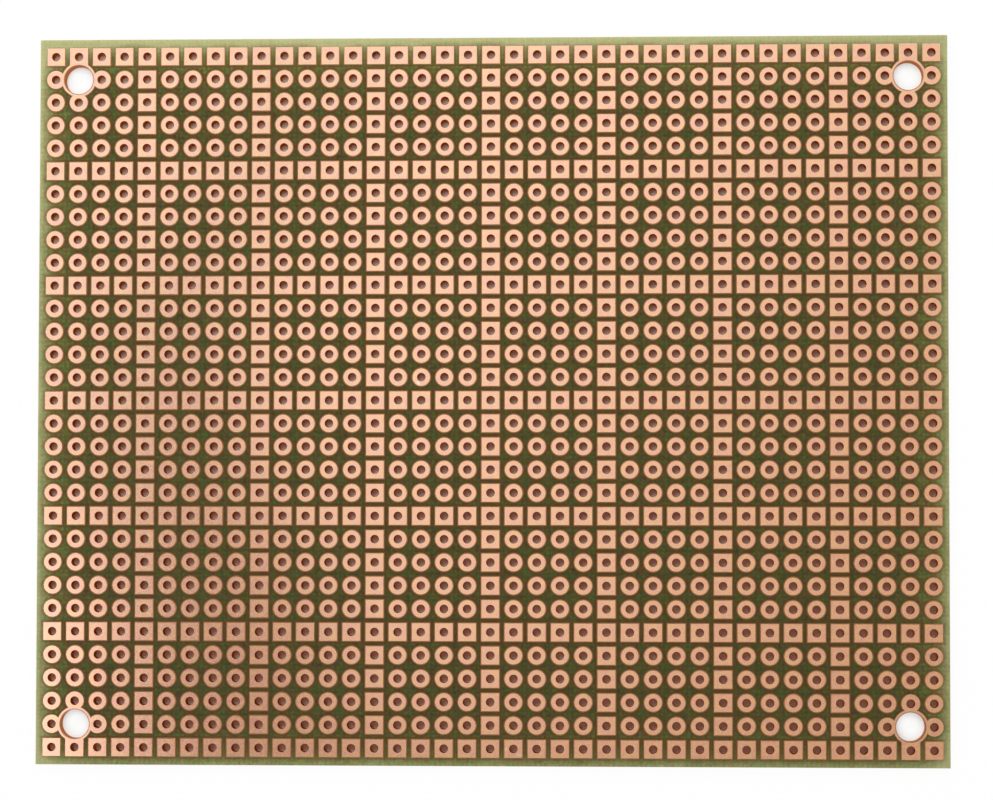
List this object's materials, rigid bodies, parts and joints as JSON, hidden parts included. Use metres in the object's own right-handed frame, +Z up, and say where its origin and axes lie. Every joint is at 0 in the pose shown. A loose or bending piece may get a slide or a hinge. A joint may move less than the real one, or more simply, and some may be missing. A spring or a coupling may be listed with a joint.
{
  "type": "prototype board",
  "caption": "Flat rectangular prototype board: green glass-epoxy laminate with a regular grid of copper-plated lead holes, round and square pads and corner mounting holes.",
  "frame": {"origin": "middle of the board, in the plane of the lower copper faces that it lies on", "axes": "+X along the long edge and its rows of holes, +Y along the short edge, +Z up out of the upper face"},
  "size_m": [0.1, 0.08, 0.0016],
  "materials": {
    "glass_epoxy": "satin translucent resin over a glass weave",
    "copper": "satin bare copper"
  },
  "bodies": {
    "root": {"substrate": "glass_epoxy", "round_pads": "copper", "square_pads": "copper", "mounting_lands": "copper"}
  },
  "joints": []
}
